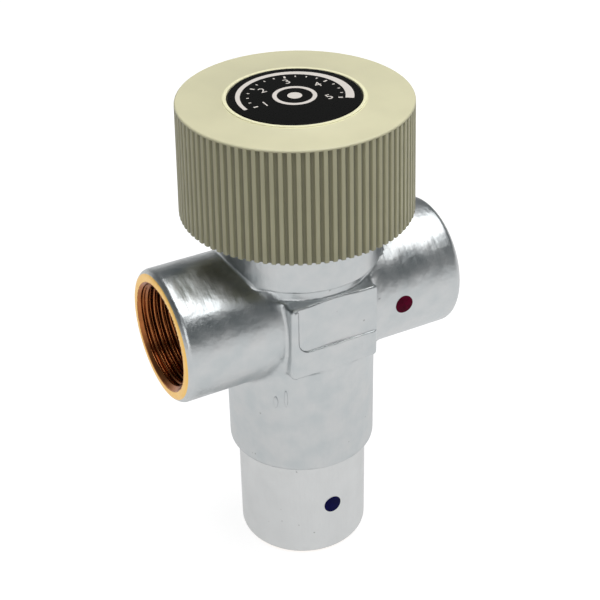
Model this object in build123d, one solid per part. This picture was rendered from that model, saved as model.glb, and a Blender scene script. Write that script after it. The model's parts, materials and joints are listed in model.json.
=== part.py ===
from build123d import *
import os
from math import atan2, degrees, pi, sqrt

# Thermostatic mixing valve: a plated brass body with a hot inlet, a mixed outlet in line with it and a
# cold inlet below, and a ribbed hand knob on top that sets the temperature.
# All sizes are in millimetres. The origin is the centre of the cold port's mouth, +Z points up through
# the knob, +X points out of the hot port and -Y is the front.

# Clearances
slip = 0.05
fixed = 0.02
seat_gap = 0.05
cutter_spare = 1.0

# Ports: female three-quarter inch pipe thread, bored plain at its full diameter
port_axis_z = 70.5
port_reach = 37.4
port_outer_r = 16.5
port_thread_r = 13.22
port_thread_length = 16.0
port_rim_chamfer = 1.2
thread_entry_chamfer = 0.5

# Outside of the casting
cold_port_length = 30.0
barrel_r = 18.6
barrel_edge_chamfer = 0.5
barrel_step_fillet_r = 1.2
tube_fillet_r = 1.6
block_half_width = 11.7
block_half_depth = 18.7
block_below_axis = 10.7
block_above_axis = 9.2
block_edge_r = 1.2
face_step_depth = 0.4
face_step_below_axis = 3.3
face_step_left_x = -9.9
face_step_corner_r = 3.0
neck_height = 3.5
neck_depth = 0.9
neck_fillet_r = 0.8
collar_r = 20.0
collar_edge_chamfer = 0.8

# Colour spots
mark_r = 2.35
mark_depth = 0.35
mark_proud = 0.08
hot_mark_x = 20.3
cold_mark_z = 15.5

# Cold passage and shuttle guide
cold_passage_r = 8.0
guide_bore_r = 10.0
return_spring_length = 13.0
return_spring_coil_r = 8.7
return_spring_wire_r = 0.6
return_spring_turns = 4.5
skirt_length = 10.5
skirt_groove_width = 2.4
skirt_groove_offset = 4.0
shuttle_ring_section_r = 0.9
shuttle_travel = 2.4

# Hot gallery and hot seat
gallery_r = 15.0
gallery_gap_below = 1.5
gallery_height = 12.0
gallery_slot_half_width = 6.0
gallery_slot_bottom_below_axis = 11.4
gallery_slot_top_below_axis = 6.0
gallery_slot_inner_drop = 2.8
gallery_slot_inner_rise = 1.5
gallery_slot_overlap = 0.5
seat_lip_thickness = 1.5
seat_lip_r = 11.2
hot_seat_thickness = 3.0
hot_seat_inner_r = 10.0
chamber_lower_r = 12.5

# Shuttle
tube_outer_r = 8.6
tube_inner_r = 6.9
flange_r = 11.0
flange_thickness = 2.0
rim_height = 0.8
hub_r = 3.2
hub_height = 3.0
hub_spoke_width = 1.6
rod_r = 2.0
rod_socket_depth = 2.0
spoke_count = 3

# Cold seat and its cage
cold_seat_below_axis = 3.2
cage_bore_r = 14.2
cage_ring_width = 1.5
cold_seat_r = 9.2
cold_seat_thickness = 2.0
cage_spoke_width = 2.4
cage_leg_width = 6.5
cage_top_ring_height = 2.0
outlet_passage_r = 7.0
outlet_passage_above_axis = 5.5

# Wax element
element_clearance = 0.4
bulb_r = 5.5
bulb_length = 7.0
element_flange_r = 6.8
element_flange_thickness = 1.4
element_guide_r = 3.5
element_guide_length = 5.0
pin_r = 1.5
pin_length = 10.5
pin_hole_spare = 0.25

# Adjusting nut, plunger and overtravel spring
nut_travel = 1.25
nut_guide_clearance = 0.75
nut_across_flats = 16.0
nut_cavity_r = 6.0
nut_bottom_lip = 0.8
plunger_ring_thickness = 0.8
plunger_ring_inner_r = 4.6
plunger_ring_groove_depth = 0.5
plunger_thickness = 1.6
plunger_boss_r = 2.8
plunger_boss_height = 1.2
overtravel_spring_length = 4.6
overtravel_spring_coil_r = 4.6
overtravel_spring_wire_r = 0.4
overtravel_spring_turns = 2.5
nut_thread_length = 6.4
spindle_thread_r = 4.75

# Spindle
spindle_flange_clearance = 0.35
spindle_flange_r = 7.9
spindle_flange_thickness = 1.6
journal_r = 5.5
journal_ring_section_r = 0.72
journal_groove_width = 1.9
journal_groove_spacing = 3.2
journal_lower_groove_height = 1.2
circlip_thickness = 1.0
circlip_outer_r = 7.4
circlip_groove_depth = 0.9
circlip_gap_width = 3.0
shoulder_clearance = 0.4
drive_across_flats = 8.0
knob_screw_r = 2.0
knob_screw_length = 10.0

# Bonnet and stop ring
bonnet_bottom_above_axis = 12.0
bonnet_spigot_length = 16.0
bonnet_bore_r = 16.0
bonnet_ring_section_r = 1.0
bonnet_ring_groove_width = 2.6
bonnet_ring_groove_height = 2.5
bonnet_flange_across_flats = 34.0
bonnet_flange_thickness = 3.0
bonnet_boss_across_flats = 22.0
bonnet_roof = 1.4
bonnet_neck_r = 9.5
bonnet_neck_length = 7.2
stop_ring_thickness = 2.5
stop_ring_outer_r = 14.5
stop_lug_clearance = 1.2
stop_lug_half_angle = 24.0

# Knob
knob_height = 27.9
knob_bottom_r = 28.0
knob_top_r = 27.4
knob_edge_r = 0.5
knob_wall = 3.0
knob_roof = 2.7
knob_hub_r = 8.0
knob_hub_length = 7.1
screw_pocket_r = 5.2
screw_pocket_depth = 2.4
rib_count = 88
groove_width = 1.0
groove_depth = 0.7
groove_end_below_top = 0.6
stop_rib_width = 4.0
stop_rib_overlap = 2.2
stop_rib_lift = 0.6

# Dial insert in the knob's top
dial_r = 15.5
dial_thickness = 2.5
dial_pocket_depth = 2.2
dial_edge_chamfer = 0.3
dial_pocket_clearance = 0.1
dial_lip_width = 0.9
dial_lip_height = 0.3
dial_peg_r = 1.2
dial_peg_length = 1.6
dial_peg_radius = 11.0

# Knob screw and washer
washer_thickness = 0.8
washer_outer_r = 4.6
screw_head_r = 3.5
screw_head_height = 1.5
screw_slot_width = 1.0
screw_slot_depth = 0.8
spindle_top_clearance = 0.2

# Heights worked out from the sizes above: from the cold seat down to the spring, then from it up to the knob
block_top_z = port_axis_z + block_above_axis
block_bottom_z = port_axis_z - block_below_axis
collar_bottom_z = block_top_z + neck_height
port_bottom_x = port_reach - port_thread_length
bonnet_bottom_z = port_axis_z + bonnet_bottom_above_axis
collar_top_z = bonnet_bottom_z + bonnet_spigot_length
cold_seat_z = port_axis_z - cold_seat_below_axis
rim_top_z = cold_seat_z - seat_gap
flange_top_z = rim_top_z - rim_height
flange_bottom_z = flange_top_z - flange_thickness
hot_seat_face_z = flange_bottom_z - shuttle_travel - seat_gap
hot_seat_bottom_z = hot_seat_face_z - hot_seat_thickness
gallery_top_z = hot_seat_bottom_z - seat_lip_thickness
gallery_bottom_z = gallery_top_z - gallery_height
skirt_top_z = gallery_bottom_z - gallery_gap_below
skirt_bottom_z = skirt_top_z - skirt_length
spring_ledge_z = skirt_bottom_z - return_spring_length
cold_seat_top_z = cold_seat_z + cold_seat_thickness
element_bottom_z = cold_seat_top_z + shuttle_travel + element_clearance
bulb_top_z = element_bottom_z + bulb_length
element_flange_top_z = bulb_top_z + element_flange_thickness
element_top_z = element_flange_top_z + element_guide_length
plunger_z = element_top_z + nut_travel + nut_guide_clearance
plunger_ring_z = plunger_z - seat_gap - plunger_ring_thickness
nut_bottom_z = plunger_ring_z - nut_bottom_lip
plunger_top_z = plunger_z + plunger_thickness
nut_cavity_top_z = plunger_top_z + overtravel_spring_length
nut_top_z = nut_cavity_top_z + nut_thread_length
spindle_flange_z = nut_top_z + nut_travel + spindle_flange_clearance
spindle_flange_top_z = spindle_flange_z + spindle_flange_thickness
thrust_face_z = spindle_flange_top_z + seat_gap
bonnet_top_z = thrust_face_z + bonnet_neck_length
circlip_z = bonnet_top_z + seat_gap
knob_seat_z = circlip_z + circlip_thickness + shoulder_clearance
washer_z = knob_seat_z + knob_hub_length
dial_floor_z = washer_z + screw_pocket_depth
knob_top_z = dial_floor_z + dial_pocket_depth
knob_bottom_z = knob_top_z - knob_height
knob_ceiling_z = dial_floor_z - knob_roof
bonnet_flange_top_z = collar_top_z + bonnet_flange_thickness
bonnet_boss_top_z = thrust_face_z + bonnet_roof
stop_ring_top_z = bonnet_flange_top_z + stop_ring_thickness

# Inside of the knob's wall, which follows the draft of its outside
knob_draft = (knob_bottom_r - knob_top_r) / knob_height
knob_mouth_r = knob_bottom_r - knob_wall
knob_ceiling_r = knob_mouth_r - knob_draft * (knob_ceiling_z - knob_bottom_z)
knob_inside_at_stop_r = knob_mouth_r - knob_draft * (stop_ring_top_z - knob_bottom_z)
stop_lug_outer_r = knob_inside_at_stop_r - stop_lug_clearance
stop_rib_inner_r = stop_lug_outer_r - stop_rib_overlap

MIN_Z = (Align.CENTER, Align.CENTER, Align.MIN)


def cylinder_z(radius, low, high):
    """Upright cylinder on the valve's axis between two heights."""
    return Pos(0, 0, low) * Cylinder(radius, high - low, align=MIN_Z)


def cylinder_x(radius, low, high, height):
    """Cylinder along X between two places, at the given height."""
    return Pos(low, 0, height) * Rot(0, 90, 0) * Cylinder(radius, high - low, align=MIN_Z)


def ring_z(outer, inner, low, high):
    """Upright tube on the valve's axis."""
    return cylinder_z(outer, low, high) - cylinder_z(inner, low, high)


def hexagon_z(across_flats, low, high):
    """Upright hexagonal prism on the valve's axis, with two flats facing the front and back."""
    outline = RegularPolygon(across_flats / 2, 6, major_radius=False, rotation=0)
    return Pos(0, 0, low) * extrude(outline, high - low)


def sector_z(radius, half_angle, low, high):
    """Upright wedge about +X, used to cut legs and lugs out of rings."""
    wedge = Cylinder(radius, high - low, arc_size=2 * half_angle, align=MIN_Z)
    return Pos(0, 0, low) * Rot(0, 0, -half_angle) * wedge


def o_ring(outer, section_r, height):
    """Round-section ring whose outside just reaches the given radius."""
    return Pos(0, 0, height) * Torus(outer - section_r, section_r)


def coil_spring(coil_r, wire_r, turns, low, high):
    """Helical spring that fills the height between its two seats."""
    rise = high - low - 2 * wire_r
    path = Helix(pitch=rise / turns, height=rise, radius=coil_r)
    section = Plane(origin=path @ 0, z_dir=path % 0) * Circle(wire_r)
    return Pos(0, 0, low + wire_r) * sweep(section, path=path, is_frenet=True)


def spokes(count, width, outer, low, high):
    """Straight arms from the axis outwards, the first one along +X."""
    arm = Pos(0, 0, low) * Box(outer, width, high - low, align=(Align.MIN, Align.CENTER, Align.MIN))
    return [Rot(0, 0, 360 * step / count) * arm for step in range(count)]


def hot_mark_cylinder():
    """Round cutter that points out of the hot port's front."""
    reach = port_outer_r + cutter_spare
    return Pos(hot_mark_x, 0, port_axis_z) * Rot(90, 0, 0) * Cylinder(mark_r, reach, align=MIN_Z)


def cold_mark_cylinder():
    """Round cutter that points out of the cold port's front."""
    reach = port_outer_r + cutter_spare
    return Pos(0, 0, cold_mark_z) * Rot(90, 0, 0) * Cylinder(mark_r, reach, align=MIN_Z)


def make_marks():
    """Enamel spots, each filling its shallow dimple and standing a little proud."""
    proud_r = port_outer_r + mark_proud
    floor_r = port_outer_r - mark_depth
    hot_band = cylinder_x(proud_r, 0, port_reach, port_axis_z) - cylinder_x(floor_r, 0, port_reach, port_axis_z)
    cold_band = ring_z(proud_r, floor_r, 0, cold_port_length)
    return hot_mark_cylinder() & hot_band, cold_mark_cylinder() & cold_band


def rim_edges(shape, circle_r, centre_distance):
    """Circular edges of one radius whose centre lies at one distance from the ports' crossing."""
    crossing = Vector(0, 0, port_axis_z)
    found = []
    for edge in shape.edges().filter_by(GeomType.CIRCLE):
        far = (edge.arc_center - crossing).length
        if abs(edge.radius - circle_r) < 0.01 and abs(far - centre_distance) < 0.01:
            found.append(edge)
    return found


def make_block():
    """Square wrench block with rounded edges."""
    block_height = block_top_z - block_bottom_z
    block = Box(2 * block_half_width, 2 * block_half_depth, block_height, align=MIN_Z)
    block = fillet(block.edges(), block_edge_r)
    return Pos(0, 0, block_bottom_z) * block


def make_face_step():
    """Cutter for the upper part of the block's front face, with a rounded lower left corner."""
    step_z = port_axis_z - face_step_below_axis
    width = block_half_width - face_step_left_x
    centre_x = (block_half_width + face_step_left_x) / 2
    face_y = face_step_depth - block_half_depth
    depth = face_step_depth + cutter_spare
    step = Box(width, depth, block_top_z - step_z, align=(Align.CENTER, Align.MAX, Align.MIN))
    corner = step.edges().filter_by(Axis.Y).group_by(Axis.X)[0].sort_by(Axis.Z)[0]
    return Pos(centre_x, face_y, step_z) * fillet(corner, face_step_corner_r)


def make_neck_groove():
    """Cutter for the neck between the block and the collar, which leaves the side tubes whole."""
    neck_r = barrel_r - neck_depth
    groove = ring_z(block_half_depth + cutter_spare, neck_r, block_top_z, collar_bottom_z)
    groove = fillet(rim_edges(groove, neck_r, block_top_z - port_axis_z), neck_fillet_r)
    groove = fillet(rim_edges(groove, neck_r, collar_bottom_z - port_axis_z), neck_fillet_r)
    return groove - cylinder_x(port_outer_r + tube_fillet_r, -port_reach, port_reach, port_axis_z)


def make_casting():
    """Outside of the cast body: two crossing tubes, the square wrench block, the barrel and the collar."""
    cold_port = cylinder_z(port_outer_r, 0, cold_port_length)
    barrel = cylinder_z(barrel_r, cold_port_length, collar_bottom_z)
    collar = cylinder_z(collar_r, collar_bottom_z, collar_top_z)
    core = barrel + cylinder_x(port_outer_r, -port_reach, port_reach, port_axis_z)
    creases = [edge for edge in core.edges() if edge.geom_type not in (GeomType.CIRCLE, GeomType.LINE)]
    core = fillet(creases, tube_fillet_r)
    casting = cold_port + (core - make_neck_groove()) + collar + make_block() - make_face_step()
    barrel_step = port_axis_z - cold_port_length
    casting = fillet(rim_edges(casting, port_outer_r, barrel_step), barrel_step_fillet_r)
    casting = chamfer(rim_edges(casting, port_outer_r, port_reach), port_rim_chamfer)
    casting = chamfer(rim_edges(casting, port_outer_r, port_axis_z), port_rim_chamfer)
    casting = chamfer(rim_edges(casting, barrel_r, barrel_step), barrel_edge_chamfer)
    return chamfer(rim_edges(casting, collar_r, collar_top_z - port_axis_z), collar_edge_chamfer)


def make_passages():
    """Everything bored or cored out of the body, as one list of cutters."""
    entry_r = port_thread_r + thread_entry_chamfer
    upright_mouth = Pos(0, 0, 0) * Cone(entry_r, port_thread_r, thread_entry_chamfer, align=MIN_Z)
    side_mouth = Pos(port_reach, 0, port_axis_z) * Rot(0, -90, 0) * Cone(
        entry_r, port_thread_r, thread_entry_chamfer, align=MIN_Z
    )
    outlet_z = port_axis_z + outlet_passage_above_axis
    slot_x = port_bottom_x + gallery_slot_overlap
    slot_inner_x = gallery_r - cutter_spare
    slot_outline = Polyline(
        (slot_x, port_axis_z - gallery_slot_bottom_below_axis),
        (slot_x, port_axis_z - gallery_slot_top_below_axis),
        (slot_inner_x, gallery_top_z + gallery_slot_inner_rise),
        (slot_inner_x, gallery_top_z - gallery_slot_inner_drop),
        close=True,
    )
    slot = extrude(Plane.XZ * make_face(slot_outline), gallery_slot_half_width, both=True)
    return [
        cylinder_z(port_thread_r, 0, port_thread_length),
        cylinder_x(port_thread_r, port_bottom_x, port_reach, port_axis_z),
        cylinder_x(port_thread_r, -port_reach, -port_bottom_x, port_axis_z),
        upright_mouth,
        side_mouth,
        Rot(0, 0, 180) * side_mouth,
        cylinder_z(cold_passage_r, port_thread_length, spring_ledge_z),
        cylinder_z(guide_bore_r, spring_ledge_z, gallery_bottom_z),
        cylinder_z(gallery_r, gallery_bottom_z, gallery_top_z),
        cylinder_z(seat_lip_r, gallery_top_z, hot_seat_bottom_z),
        cylinder_z(chamber_lower_r, hot_seat_bottom_z, cold_seat_z),
        cylinder_z(cage_bore_r, cold_seat_z, bonnet_bottom_z),
        cylinder_z(bonnet_bore_r, bonnet_bottom_z, collar_top_z),
        cylinder_x(outlet_passage_r, -port_bottom_x, 0, outlet_z),
        slot,
    ]


def make_valve_body():
    """Cast body with its passages, and the dimples for the colour spots."""
    hot_dimple = hot_mark_cylinder() - cylinder_x(port_outer_r - mark_depth, 0, port_reach, port_axis_z)
    cold_dimple = cold_mark_cylinder() - cylinder_z(port_outer_r - mark_depth, 0, cold_port_length)
    return make_casting() - make_passages() - hot_dimple - cold_dimple


def make_hot_seat():
    """Seat ring dropped onto the lip above the hot gallery."""
    return ring_z(chamber_lower_r - fixed, hot_seat_inner_r, hot_seat_bottom_z, hot_seat_face_z)


def make_seat_cage():
    """Cold seat disc on three arms, with three legs up to the ring that the bonnet clamps."""
    outer = cage_bore_r - fixed
    inner = outer - cage_ring_width
    height = bonnet_bottom_z - cold_seat_z
    disc = cylinder_z(cold_seat_r, cold_seat_z, cold_seat_top_z)
    base_ring = ring_z(outer, inner, cold_seat_z, cold_seat_top_z)
    top_ring = ring_z(outer, inner, bonnet_bottom_z - cage_top_ring_height, bonnet_bottom_z)
    arms = spokes(spoke_count, cage_spoke_width, inner + cage_ring_width / 2, cold_seat_z, cold_seat_top_z)
    legs = spokes(spoke_count, cage_leg_width, outer, cold_seat_z, cold_seat_z + height)
    legs = [leg & ring_z(outer, inner, cold_seat_z, bonnet_bottom_z) for leg in legs]
    cage = disc + base_ring + top_ring + arms + legs
    return cage - cylinder_z(rod_r + slip, cold_seat_z, cold_seat_top_z)


def make_shuttle():
    """Hollow shuttle: guided skirt, tube, hot flange and cold rim, with a hub and rod for the element."""
    skirt = cylinder_z(guide_bore_r - slip, skirt_bottom_z, skirt_top_z)
    tube = cylinder_z(tube_outer_r, skirt_top_z, rim_top_z)
    flange = cylinder_z(flange_r, flange_bottom_z, flange_top_z)
    bore = cylinder_z(tube_inner_r, skirt_bottom_z, rim_top_z)
    groove_z = skirt_bottom_z + skirt_groove_offset
    groove_floor = guide_bore_r - slip - 2 * shuttle_ring_section_r
    groove = ring_z(guide_bore_r, groove_floor, groove_z, groove_z + skirt_groove_width)
    hub_z = rim_top_z - hub_height
    hub = cylinder_z(hub_r, hub_z, rim_top_z)
    arms = spokes(spoke_count, hub_spoke_width, (tube_inner_r + tube_outer_r) / 2, hub_z, rim_top_z)
    rod = cylinder_z(rod_r, hub_z, element_bottom_z + rod_socket_depth)
    return (skirt + tube + flange - bore - groove) + hub + arms + rod


def make_shuttle_o_ring():
    """Seal in the shuttle's skirt."""
    height = skirt_bottom_z + skirt_groove_offset + skirt_groove_width / 2
    return o_ring(guide_bore_r - slip, shuttle_ring_section_r, height)


def make_wax_element():
    """Sealed wax capsule: bulb, flange and pin guide, with a socket for the shuttle's rod."""
    bulb = cylinder_z(bulb_r, element_bottom_z, bulb_top_z)
    flange = cylinder_z(element_flange_r, bulb_top_z, element_flange_top_z)
    guide = cylinder_z(element_guide_r, element_flange_top_z, element_top_z)
    socket = cylinder_z(rod_r + fixed, element_bottom_z, element_bottom_z + rod_socket_depth)
    pin_hole_z = plunger_z - pin_length - nut_travel - pin_hole_spare
    pin_hole = cylinder_z(pin_r + slip, pin_hole_z, element_top_z)
    return bulb + flange + guide - socket - pin_hole


def make_element_pin():
    """Steel pin between the wax and the plunger."""
    return cylinder_z(pin_r, plunger_z - pin_length, plunger_z)


def make_plunger():
    """Disc that the pin pushes on, with a boss that centres the overtravel spring."""
    disc = cylinder_z(nut_cavity_r - slip, plunger_z, plunger_top_z)
    return disc + cylinder_z(plunger_boss_r, plunger_top_z, plunger_top_z + plunger_boss_height)


def make_plunger_ring():
    """Snap ring that keeps the plunger in the nut."""
    outer = nut_cavity_r + plunger_ring_groove_depth - fixed
    ring = ring_z(outer, plunger_ring_inner_r, plunger_ring_z, plunger_ring_z + plunger_ring_thickness)
    return ring - Pos(0, 0, plunger_ring_z) * Box(
        outer, circlip_gap_width, plunger_ring_thickness, align=(Align.MIN, Align.CENTER, Align.MIN)
    )


def make_adjusting_nut():
    """Hexagonal nut that carries the plunger and its spring."""
    nut = hexagon_z(nut_across_flats, nut_bottom_z, nut_top_z)
    cavity = cylinder_z(nut_cavity_r, nut_bottom_z, nut_cavity_top_z)
    groove_r = nut_cavity_r + plunger_ring_groove_depth
    groove = cylinder_z(groove_r, plunger_ring_z, plunger_ring_z + plunger_ring_thickness)
    thread = cylinder_z(spindle_thread_r + slip, nut_cavity_top_z, nut_top_z)
    return nut - cavity - groove - thread


def journal_groove_heights():
    """Lower edges of the two seal grooves on the spindle."""
    lower = thrust_face_z + journal_lower_groove_height
    return lower, lower + journal_groove_spacing


def make_spindle():
    """Threaded spindle with a thrust flange, two seal grooves, a circlip groove and a hexagonal drive end."""
    thread_end_z = nut_cavity_top_z + nut_travel + spindle_top_clearance
    spindle_top_z = washer_z - spindle_top_clearance
    spindle = cylinder_z(spindle_thread_r, thread_end_z, spindle_flange_z)
    spindle += cylinder_z(spindle_flange_r, spindle_flange_z, spindle_flange_top_z)
    spindle += cylinder_z(journal_r, spindle_flange_top_z, knob_seat_z)
    spindle += hexagon_z(drive_across_flats, knob_seat_z, spindle_top_z)
    groove_floor = journal_r - 2 * journal_ring_section_r
    for low in journal_groove_heights():
        spindle -= ring_z(journal_r + cutter_spare, groove_floor, low, low + journal_groove_width)
    circlip_floor = journal_r - circlip_groove_depth
    spindle -= ring_z(journal_r + cutter_spare, circlip_floor, circlip_z, circlip_z + circlip_thickness)
    screw_end_z = washer_z + washer_thickness - knob_screw_length
    return spindle - cylinder_z(knob_screw_r + fixed, screw_end_z, spindle_top_z)


def make_spindle_o_rings():
    """Lower and upper seals of the spindle."""
    rings = []
    for low in journal_groove_heights():
        rings.append(o_ring(journal_r, journal_ring_section_r, low + journal_groove_width / 2))
    return rings


def make_spindle_circlip():
    """Open ring that keeps the spindle in the bonnet."""
    inner = journal_r - circlip_groove_depth + fixed
    ring = ring_z(circlip_outer_r, inner, circlip_z, circlip_z + circlip_thickness)
    return ring - Pos(0, 0, circlip_z) * Box(
        circlip_outer_r, circlip_gap_width, circlip_thickness, align=(Align.MIN, Align.CENTER, Align.MIN)
    )


def make_bonnet():
    """Brass head part screwed into the collar, with a hexagonal bore for the nut."""
    spigot_r = bonnet_bore_r - fixed
    bonnet = cylinder_z(spigot_r, bonnet_bottom_z, collar_top_z)
    bonnet += hexagon_z(bonnet_flange_across_flats, collar_top_z, bonnet_flange_top_z)
    bonnet += hexagon_z(bonnet_boss_across_flats, bonnet_flange_top_z, bonnet_boss_top_z)
    bonnet += cylinder_z(bonnet_neck_r, bonnet_boss_top_z, bonnet_top_z)
    ring_low = bonnet_bottom_z + bonnet_ring_groove_height
    groove_floor = spigot_r - 2 * bonnet_ring_section_r
    bonnet -= ring_z(bonnet_bore_r, groove_floor, ring_low, ring_low + bonnet_ring_groove_width)
    bonnet -= hexagon_z(nut_across_flats + 2 * slip, bonnet_bottom_z, spindle_flange_z - spindle_flange_clearance)
    flange_room_z = spindle_flange_z - spindle_flange_clearance
    bonnet -= cylinder_z(spindle_flange_r + 2 * slip, flange_room_z, thrust_face_z)
    return bonnet - cylinder_z(journal_r + slip, thrust_face_z, bonnet_top_z)


def make_bonnet_o_ring():
    """Seal between the bonnet and the collar."""
    height = bonnet_bottom_z + bonnet_ring_groove_height + bonnet_ring_groove_width / 2
    return o_ring(bonnet_bore_r - fixed, bonnet_ring_section_r, height)


def make_stop_ring():
    """Ring on the bonnet's hexagon, with a lug at the back that the knob's inner rib runs against."""
    low, high = bonnet_flange_top_z, stop_ring_top_z
    ring = cylinder_z(stop_ring_outer_r, low, high)
    lug = cylinder_z(stop_lug_outer_r, low, high)
    lug &= Rot(0, 0, 90) * sector_z(stop_lug_outer_r + cutter_spare, stop_lug_half_angle, low, high)
    return ring + lug - hexagon_z(bonnet_boss_across_flats + 2 * slip, low, high)


def make_knob_grooves():
    """Round-bottomed grooves between the grip ribs, following the knob's draft."""
    start = Vector(knob_bottom_r, 0, knob_bottom_z)
    end = Vector(knob_top_r, 0, knob_top_z)
    along = (end - start).normalized()
    length = knob_height - groove_end_below_top + cutter_spare
    base = Plane(origin=start - along * cutter_spare, x_dir=(1, 0, 0), z_dir=along)
    groove = base * extrude(SlotOverall(2 * groove_depth, groove_width), length)
    return PolarLocations(0, rib_count) * groove


def make_knob():
    """Ribbed cap with a hub on the spindle's hexagon and a stop rib inside its front wall."""
    outside = Pos(0, 0, knob_bottom_z) * Cone(knob_bottom_r, knob_top_r, knob_height, align=MIN_Z)
    outside = fillet(outside.edges().sort_by(Axis.Z)[-1], knob_edge_r)
    pocket_r = dial_r + dial_pocket_clearance
    lip_r = pocket_r + dial_lip_width
    lip = cylinder_z(lip_r, knob_top_z, knob_top_z + dial_lip_height)
    cavity_height = knob_ceiling_z - knob_bottom_z
    cavity = Pos(0, 0, knob_bottom_z) * Cone(knob_mouth_r, knob_ceiling_r, cavity_height, align=MIN_Z)
    hub = cylinder_z(knob_hub_r, knob_seat_z, knob_ceiling_z)
    stop_low = bonnet_flange_top_z + stop_rib_lift
    stop_rib = Pos(0, 0, stop_low) * Box(
        stop_rib_width, knob_mouth_r, knob_ceiling_z - stop_low, align=(Align.CENTER, Align.MAX, Align.MIN)
    )
    stop_rib -= cylinder_z(stop_rib_inner_r, stop_low, knob_ceiling_z)
    knob = outside - make_knob_grooves() + lip - (cavity - hub - stop_rib)
    knob -= cylinder_z(pocket_r, dial_floor_z, knob_top_z + dial_lip_height)
    knob -= cylinder_z(screw_pocket_r, washer_z, dial_floor_z)
    knob -= hexagon_z(drive_across_flats + 2 * fixed, knob_seat_z, washer_z)
    peg_hole = Pos(0, dial_peg_radius, dial_floor_z - dial_peg_length) * Cylinder(
        dial_peg_r + fixed, dial_peg_length, align=MIN_Z
    )
    return knob - peg_hole


def make_knob_washer():
    """Washer between the screw's head and the knob's hub."""
    return ring_z(washer_outer_r, knob_screw_r + slip, washer_z, washer_z + washer_thickness)


def make_knob_screw():
    """Slotted pan-head screw in the spindle's end."""
    head_z = washer_z + washer_thickness
    head_top_z = head_z + screw_head_height
    screw = cylinder_z(screw_head_r, head_z, head_top_z)
    screw += cylinder_z(knob_screw_r, head_z - knob_screw_length, head_z)
    slot = Box(2 * screw_head_r, screw_slot_width, screw_slot_depth, align=MIN_Z)
    return screw - Pos(0, 0, head_top_z - screw_slot_depth) * slot


def make_dial_insert():
    """Black disc pressed into the knob's top, kept in line by a peg."""
    top = dial_floor_z + dial_thickness
    disc = cylinder_z(dial_r, dial_floor_z, top)
    disc = chamfer(disc.edges().sort_by(Axis.Z)[-1], dial_edge_chamfer)
    peg = Pos(0, dial_peg_radius, dial_floor_z - dial_peg_length) * Cylinder(
        dial_peg_r, dial_peg_length, align=MIN_Z
    )
    return disc + peg


def make_parts():
    """Every piece of the valve, by name."""
    hot_mark, cold_mark = make_marks()
    lower_ring, upper_ring = make_spindle_o_rings()
    return_spring = coil_spring(
        return_spring_coil_r, return_spring_wire_r, return_spring_turns, spring_ledge_z, skirt_bottom_z
    )
    overtravel_spring = coil_spring(
        overtravel_spring_coil_r,
        overtravel_spring_wire_r,
        overtravel_spring_turns,
        plunger_top_z,
        nut_cavity_top_z,
    )
    return {
        "valve_body": make_valve_body(),
        "hot_mark": hot_mark,
        "cold_mark": cold_mark,
        "hot_seat": make_hot_seat(),
        "seat_cage": make_seat_cage(),
        "shuttle": make_shuttle(),
        "shuttle_o_ring": make_shuttle_o_ring(),
        "return_spring": return_spring,
        "wax_element": make_wax_element(),
        "element_pin": make_element_pin(),
        "plunger": make_plunger(),
        "plunger_ring": make_plunger_ring(),
        "overtravel_spring": overtravel_spring,
        "adjusting_nut": make_adjusting_nut(),
        "spindle": make_spindle(),
        "spindle_o_ring_lower": lower_ring,
        "spindle_o_ring_upper": upper_ring,
        "spindle_circlip": make_spindle_circlip(),
        "bonnet": make_bonnet(),
        "bonnet_o_ring": make_bonnet_o_ring(),
        "stop_ring": make_stop_ring(),
        "knob": make_knob(),
        "knob_washer": make_knob_washer(),
        "knob_screw": make_knob_screw(),
        "dial_insert": make_dial_insert(),
    }


os.makedirs("parts", exist_ok=True)
for name, shape in make_parts().items():
    export_step(shape, f"parts/{name}.step")
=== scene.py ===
import json
import math

import bmesh
import bpy
import numpy as np
from mathutils import Matrix, Vector


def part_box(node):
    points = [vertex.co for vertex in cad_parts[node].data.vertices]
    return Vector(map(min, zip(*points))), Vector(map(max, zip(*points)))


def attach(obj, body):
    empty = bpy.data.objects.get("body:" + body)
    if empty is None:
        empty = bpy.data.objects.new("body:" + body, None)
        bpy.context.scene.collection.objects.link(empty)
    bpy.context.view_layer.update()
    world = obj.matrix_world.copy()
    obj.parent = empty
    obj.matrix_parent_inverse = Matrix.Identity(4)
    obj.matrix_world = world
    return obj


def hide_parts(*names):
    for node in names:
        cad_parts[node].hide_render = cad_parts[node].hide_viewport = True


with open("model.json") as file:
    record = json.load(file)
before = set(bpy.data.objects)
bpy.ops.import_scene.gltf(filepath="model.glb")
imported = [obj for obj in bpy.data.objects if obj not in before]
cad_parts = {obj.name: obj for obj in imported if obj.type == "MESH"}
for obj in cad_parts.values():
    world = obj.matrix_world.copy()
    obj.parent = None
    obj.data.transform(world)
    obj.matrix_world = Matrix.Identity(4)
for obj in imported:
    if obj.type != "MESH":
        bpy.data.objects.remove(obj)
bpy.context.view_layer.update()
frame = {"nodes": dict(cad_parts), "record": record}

MM = 0.001

# Sizes read from the frame, in millimetres
mounts = {mount["name"]: mount for mount in frame["record"]["mounts"]}
body_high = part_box("valve_body")[1] / MM
knob_low, knob_high = (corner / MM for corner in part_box("knob"))
dial_top_z = (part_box("dial_insert")[1] / MM)[2]
port_axis_z = mounts["hot_inlet"]["pos_m"][2] / MM
port_reach = body_high[0]
port_thread_r = mounts["hot_inlet"]["dims"]["r_mm"]
collar_r = body_high[1]
collar_top_z = body_high[2]

# Ports, in millimetres
port_outer_r = 16.5
port_rim_chamfer = 1.2
port_thread_length = 16.0
port_bottom_x = port_reach - port_thread_length
port_into_barrel = 6.0
thread_pitch = 1.814
thread_minor_r = 12.06

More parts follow.
